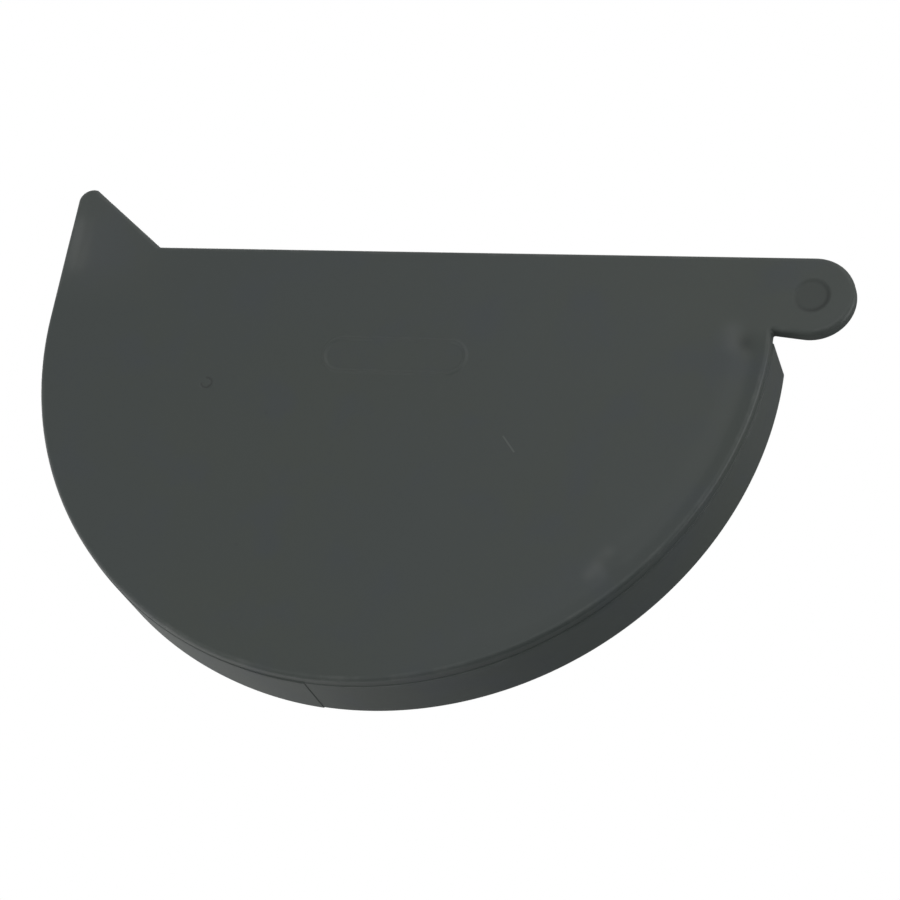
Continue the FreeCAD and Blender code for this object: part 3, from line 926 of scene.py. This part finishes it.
class Wire:
    """A value in a node tree; the operators add Math nodes."""

    def __init__(self, tree, socket):
        self.tree = tree
        self.socket = socket

    def math(self, operation, *values):
        """A Math node of the given values, which are wires or numbers."""
        return self.tree.node("ShaderNodeMath", {"operation": operation}, dict(enumerate(values)))

    def __add__(self, other):
        return self.math("ADD", self, other)

    def __sub__(self, other):
        return self.math("SUBTRACT", self, other)

    def __rsub__(self, other):
        return self.math("SUBTRACT", other, self)

    def __mul__(self, other):
        return self.math("MULTIPLY", self, other)

    def __truediv__(self, other):
        return self.math("DIVIDE", self, other)

    def __rtruediv__(self, other):
        return self.math("DIVIDE", other, self)

    def __pow__(self, other):
        return self.math("POWER", self, other)

    def __rpow__(self, other):
        return self.math("POWER", other, self)

    __radd__ = __add__
    __rmul__ = __mul__

    def at_most(self, other):
        """The smaller of two values."""
        return self.math("MINIMUM", self, other)

    def at_least(self, other):
        """The larger of two values."""
        return self.math("MAXIMUM", self, other)


class Tree:
    """The nodes of one material or world."""

    def __init__(self, owner):
        owner.use_nodes = True
        self.nodes = owner.node_tree.nodes
        self.links = owner.node_tree.links
        self.nodes.clear()

    def node(self, kind, settings=None, values=None, output=0):
        """Any node: its type, its settings, which are set first, then the values or links of its sockets."""
        made = self.nodes.new(kind)
        for name, setting in (settings or {}).items():
            setattr(made, name, setting)
        for name, value in (values or {}).items():
            if isinstance(value, Wire):
                self.links.new(value.socket, made.inputs[name])
            else:
                made.inputs[name].default_value = value
        return Wire(self, made.outputs[output]) if made.outputs else made

    def fan(self, kind, values, *names):
        """One node, and a wire from each of its named outputs."""
        first = self.node(kind, None, values)
        return [Wire(self, first.socket.node.outputs[name]) for name in names]

    def place(self):
        """The point on the object, in its own coordinates."""
        return self.node("ShaderNodeTexCoord", None, None, "Object")

    def attribute(self, name):
        """A value that the mesh holds at its points."""
        return self.node("ShaderNodeAttribute", {"attribute_name": name}, None, "Fac")

    def noise(self, where, noise):
        """A noise from 0 to 1."""
        return self.node("ShaderNodeTexNoise", None, {
            "Vector": where, "Scale": noise.scale, "Detail": noise.detail, "Roughness": noise.rough})

    def ramp(self, value, low, high):
        """0 up to low, 1 from high on, smooth between."""
        return self.node("ShaderNodeMapRange", {"interpolation_type": "SMOOTHSTEP"},
                         {"Value": value, "From Min": low, "From Max": high})

    def mix(self, share, first, second):
        """From one colour to another."""
        factor, colour_a, colour_b, colour_out = 0, 6, 7, 2
        return self.node("ShaderNodeMix", {"data_type": "RGBA"},
                         {factor: share, colour_a: first, colour_b: second}, colour_out)

    def blend(self, share, first, second):
        """From one shader to another."""
        return self.node("ShaderNodeMixShader", None, {0: share, 1: first, 2: second})

    def glow(self, strength):
        """A white shader that shines evenly."""
        return self.node("ShaderNodeEmission", None, {"Strength": strength})


def new_skin(name):
    """A new material and its tree."""
    material = bpy.data.materials.new(name)
    return material, Tree(material)


def rgba(colour):
    """A colour with its fourth value."""
    return (*colour, 1.0)


def point_distance(place, x, z):
    """Distance in a node tree from an (x, z) point."""
    return ((x - place[0]) ** 2 + (z - place[1]) ** 2) ** 0.5


def line_distance(start, end, x, z):
    """Distance in a node tree from the straight line between two (x, z) points."""
    step = Vector(end) - Vector(start)
    away_x, away_z = x - start[0], z - start[1]
    share = ((away_x * step.x + away_z * step.y) / step.length_squared).at_least(0).at_most(1)
    return ((away_x - share * step.x) ** 2 + (away_z - share * step.y) ** 2) ** 0.5


def plastic_skin(finish, marks):
    """Dark moulded plastic: faint warm and cool patches, fine grain and a soft uneven skin.

    Over them lie rubbed edges, a scratch and two specks, painted light that makes the ear paler with painted
    highlight streaks, and painted shade in the hollows.
    """
    material, tree = new_skin(SLOT)
    place = tree.place()
    x, y, z = tree.fan("ShaderNodeSeparateXYZ", {0: place}, "X", "Y", "Z")

    broad = tree.noise(place, BROAD_NOISE)
    patch = tree.noise(place, PATCH_NOISE)
    grain = tree.noise(place, GRAIN_NOISE)
    dark = rgba(GRAIN_DARK * part for part in finish.base)
    colour = tree.mix(tree.ramp(broad, *GREEN_RAMP), rgba(finish.base), rgba(finish.green))
    colour = tree.mix(tree.ramp(patch, *BLUE_RAMP) * BLUE_SHARE, colour, rgba(finish.blue))
    colour = tree.mix(tree.ramp(grain, *GRAIN_RAMP) * GRAIN_SHARE, colour, dark)

    on_front = tree.ramp(y, *FRONT_RAMP)
    scratch_away = line_distance(marks.scratch_start, marks.scratch_end, x, z)
    scratch = tree.ramp(scratch_away, *SCRATCH_RAMP) * on_front
    speck_away = point_distance(marks.speck_upper, x, z).at_most(point_distance(marks.speck_lower, x, z))
    speck = tree.ramp(speck_away, *SPECK_RAMP) * on_front
    worn = tree.attribute("rubbed") * tree.ramp(tree.noise(place, WEAR_NOISE), *WEAR_RAMP) * WEAR_SHARE
    # Paler where the edges are rubbed and along the scratch, and painted light: a paler ear and painted
    # highlight streaks.
    worn_and_lit = worn + tree.attribute("pale") + scratch * SCRATCH_SHARE
    # Painted shade: darker in the pin's ring, the dimple, and round and on the recess's floor.
    grime = tree.attribute("grime")
    colour = tree.mix(worn_and_lit.at_most(1), colour, rgba(finish.scuff_and_highlight))
    colour = tree.mix(speck * SPECK_SHARE, colour, dark)
    colour = tree.mix((grime * HOLLOW_SHADE_SHARE).at_most(1), colour, rgba(finish.grime))

    skin = tree.noise(place, SKIN_NOISE)
    pits = tree.noise(place, PIT_NOISE)
    height = skin * SKIN_HEIGHT + pits * PIT_HEIGHT + scratch * SCRATCH_HEIGHT
    bump = tree.node("ShaderNodeBump", None,
                     {"Strength": 1.0, "Distance": finish.skin_depth, "Height": height}, "Normal")
    rough = (finish.roughness + (broad - NOISE_MIDDLE) * BROAD_ROUGH + (patch - NOISE_MIDDLE) * PATCH_ROUGH
             - worn * WORN_GLOSS + grime * HOLLOW_SHADE_ROUGH)
    surface = tree.node("ShaderNodeBsdfPrincipled", None,
                        {"Base Color": colour, "Roughness": rough, "Normal": bump,
                         "Specular IOR Level": finish.sheen_level}, "BSDF")
    tree.node("ShaderNodeOutputMaterial", None, {"Surface": surface})
    return material


def floor_skin(studio):
    """A pale matt floor that fades out far from the cap and isn't there from below.

    Reflections see it as an even glow that darkens to the front right, and the camera sees a share of the
    even glow over the floor's own colour and shadow.
    """
    material, tree = new_skin("floor_pale")
    place = tree.place()
    reach = tree.node("ShaderNodeVectorMath", {"operation": "LENGTH"}, {0: place}, "Value")
    across = tree.node("ShaderNodeSeparateXYZ", None, {0: place}, "X")
    below = tree.node("ShaderNodeNewGeometry", None, None, "Backfacing")
    seen, mirrored = tree.fan("ShaderNodeLightPath", None, "Is Camera Ray", "Is Glossy Ray")
    pale = tree.node("ShaderNodeBsdfDiffuse", None, {"Color": rgba(studio.floor_colour)})
    even = tree.glow(studio.floor_level)
    reflected = tree.blend(tree.ramp(across, *SHADE_RAMP), even, tree.glow(studio.floor_shade))
    lifted = tree.blend(seen * studio.floor_lift, pale, even)
    near = tree.blend(mirrored, lifted, reflected)
    gone = tree.ramp(reach, *FLOOR_FADE).at_least(below)
    surface = tree.blend(gone, near, tree.node("ShaderNodeBsdfTransparent"))
    tree.node("ShaderNodeOutputMaterial", None, {"Surface": surface})
    return material


def card_skin(studio):
    """An even grey."""
    material, tree = new_skin("card_grey")
    tree.node("ShaderNodeOutputMaterial", None, {"Surface": tree.glow(studio.card_level)})
    return material


def add_object(name, data):
    """An object at the origin in the scene."""
    made = bpy.data.objects.new(name, data)
    bpy.context.scene.collection.objects.link(made)
    return made


def sheet_mesh(name, across, along, place):
    """A flat sheet: (u, v) -> place(u, v), for each u across and each v along it."""
    u, v = np.meshgrid(across, along, indexing="ij")
    points = np.stack(np.broadcast_arrays(*place(u, v)), axis=2).reshape(-1, 3)
    number = np.arange(u.size).reshape(u.shape)
    quads = np.stack((number[:-1, :-1], number[1:, :-1], number[1:, 1:], number[:-1, 1:]), axis=2)
    return put_mesh(name, points, [quads.reshape(-1, 4)])


def add_floor(studio):
    """A level square under the cap, (u, v) -> (u, v, -drop)."""
    side = np.linspace(-FLOOR_HALF, FLOOR_HALF, FLOOR_POINTS)
    floor = add_object("floor", sheet_mesh("floor", side, side, lambda u, v: (u, v, -studio.floor_drop)))
    floor.data.materials.append(floor_skin(studio))


def add_card(studio):
    """An upright card behind the cap, (u, v) -> (u, back, v), that only reflections see."""
    width = np.linspace(-CARD_HALF, CARD_HALF, CARD_POINTS)
    height = np.linspace(CARD_LOW, CARD_HIGH, CARD_POINTS)
    card = add_object("grey_card", sheet_mesh("grey_card", width, height, lambda u, v: (u, CARD_BACK, v)))
    card.data.materials.append(card_skin(studio))
    card.visible_camera = False
    card.visible_diffuse = False
    card.visible_transmission = False
    card.visible_shadow = False


def towards(azimuth, elevation):
    """The direction in which something stands: azimuth 0 is in front, at -Y, and 90 degrees at +X."""
    flat = math.cos(elevation)
    return Vector((math.sin(azimuth) * flat, -math.cos(azimuth) * flat, math.sin(elevation)))


def facing(place, aim, roll=0.0):
    """A turn that looks from a place to an aim along -Z, rolled about that line."""
    look = (Vector(aim) - Vector(place)).normalized()
    turn = look.to_track_quat("-Z", "Y").to_matrix().to_4x4()
    return Matrix.Translation(place) @ turn @ Matrix.Rotation(roll, 4, "Z")


def add_lamp(name, lamp, power):
    """A soft square lamp that looks at the cap."""
    data = bpy.data.lights.new(name, "AREA")
    data.shape = "SQUARE"
    data.size = lamp.size
    data.energy = power
    place = towards(math.radians(lamp.azimuth), math.radians(lamp.elevation)) * lamp.distance
    made = add_object(name, data)
    made.matrix_world = facing(place, (0, 0, 0))
    made.visible_camera = False


def add_camera(studio):
    """The camera at the photograph's angle."""
    data = bpy.data.cameras.new("camera")
    data.lens = studio.lens
    data.sensor_width = SENSOR_WIDTH
    data.clip_start = CLIP_START
    aim = Vector(studio.aim)
    place = aim + towards(studio.azimuth, studio.elevation) * studio.distance
    camera = add_object("camera", data)
    camera.matrix_world = facing(place, aim, studio.roll)
    bpy.context.scene.camera = camera


def add_world(studio):
    """White where the camera or a reflection sees it, and an even soft light for the rest."""
    world = bpy.data.worlds.new("studio")
    tree = Tree(world)
    seen, mirrored, through = tree.fan("ShaderNodeLightPath", None,
                                       "Is Camera Ray", "Is Glossy Ray", "Is Transmission Ray")
    strength = studio.ambient + seen.at_least(mirrored).at_least(through) * (1 - studio.ambient)
    light = tree.node("ShaderNodeBackground", None, {"Color": (1, 1, 1, 1), "Strength": strength})
    tree.node("ShaderNodeOutputWorld", None, {"Surface": light})
    bpy.context.scene.world = world


class EndCapMoulding(bpy.types.Operator):
    """Build the cap as one moulding in place of its node"""
    bl_idname = "end_cap.moulding"
    bl_label = "Cap moulding"

    def execute(self, context):
        scene = context.scene
        cap = add_object("cap_moulding", cap_mesh(scene.cap_sizes, scene.cap_marks))
        cap.data.materials.append(plastic_skin(scene.cap_finish, scene.cap_marks))
        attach(cap, BODY)
        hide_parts(NODE)
        return {"FINISHED"}


class EndCapStudio(bpy.types.Operator):
    """Build the floor, card, lamps, world and camera"""
    bl_idname = "end_cap.studio"
    bl_label = "Studio"

    def execute(self, context):
        studio = context.scene.cap_studio
        add_floor(studio)
        add_card(studio)
        for name, lamp in LAMPS.items():
            add_lamp(name + "_lamp", lamp, getattr(studio, name))
        add_world(studio)
        add_camera(studio)
        context.scene.view_settings.view_transform = "Standard"
        return {"FINISHED"}


class EndCapPanel(bpy.types.Panel):
    """Lists the cap's pieces and what can be changed"""
    bl_idname = "VIEW3D_PT_end_cap"
    bl_label = "End cap"
    bl_space_type = "VIEW_3D"
    bl_region_type = "UI"
    bl_category = "End cap"

    def draw(self, context):
        """A button for each operator, and a box for each group of values."""
        for operator in OPERATORS:
            self.layout.operator(operator.bl_idname)
        for name, group in GROUPS.items():
            box = self.layout.box()
            box.label(text=group.__doc__)
            for prop in group.__annotations__:
                box.prop(getattr(context.scene, name), prop)


GROUPS = {"cap_sizes": CapSizes, "cap_marks": CapMarks, "cap_finish": CapFinish, "cap_studio": CapStudio}
OPERATORS = (EndCapMoulding, EndCapStudio)
CLASSES = (*GROUPS.values(), *OPERATORS, EndCapPanel)


def register():
    """Add the classes, and each group of values to the scene."""
    for item in CLASSES:
        bpy.utils.register_class(item)
    for name, group in GROUPS.items():
        setattr(bpy.types.Scene, name, PointerProperty(type=group))


def unregister():
    """Take the groups and the classes away again."""
    for name in GROUPS:
        delattr(bpy.types.Scene, name)
    for item in reversed(CLASSES):
        bpy.utils.unregister_class(item)


def main():
    """Build everything."""
    register()
    bpy.ops.end_cap.moulding()
    bpy.ops.end_cap.studio()


if __name__ == "__main__":
    main()
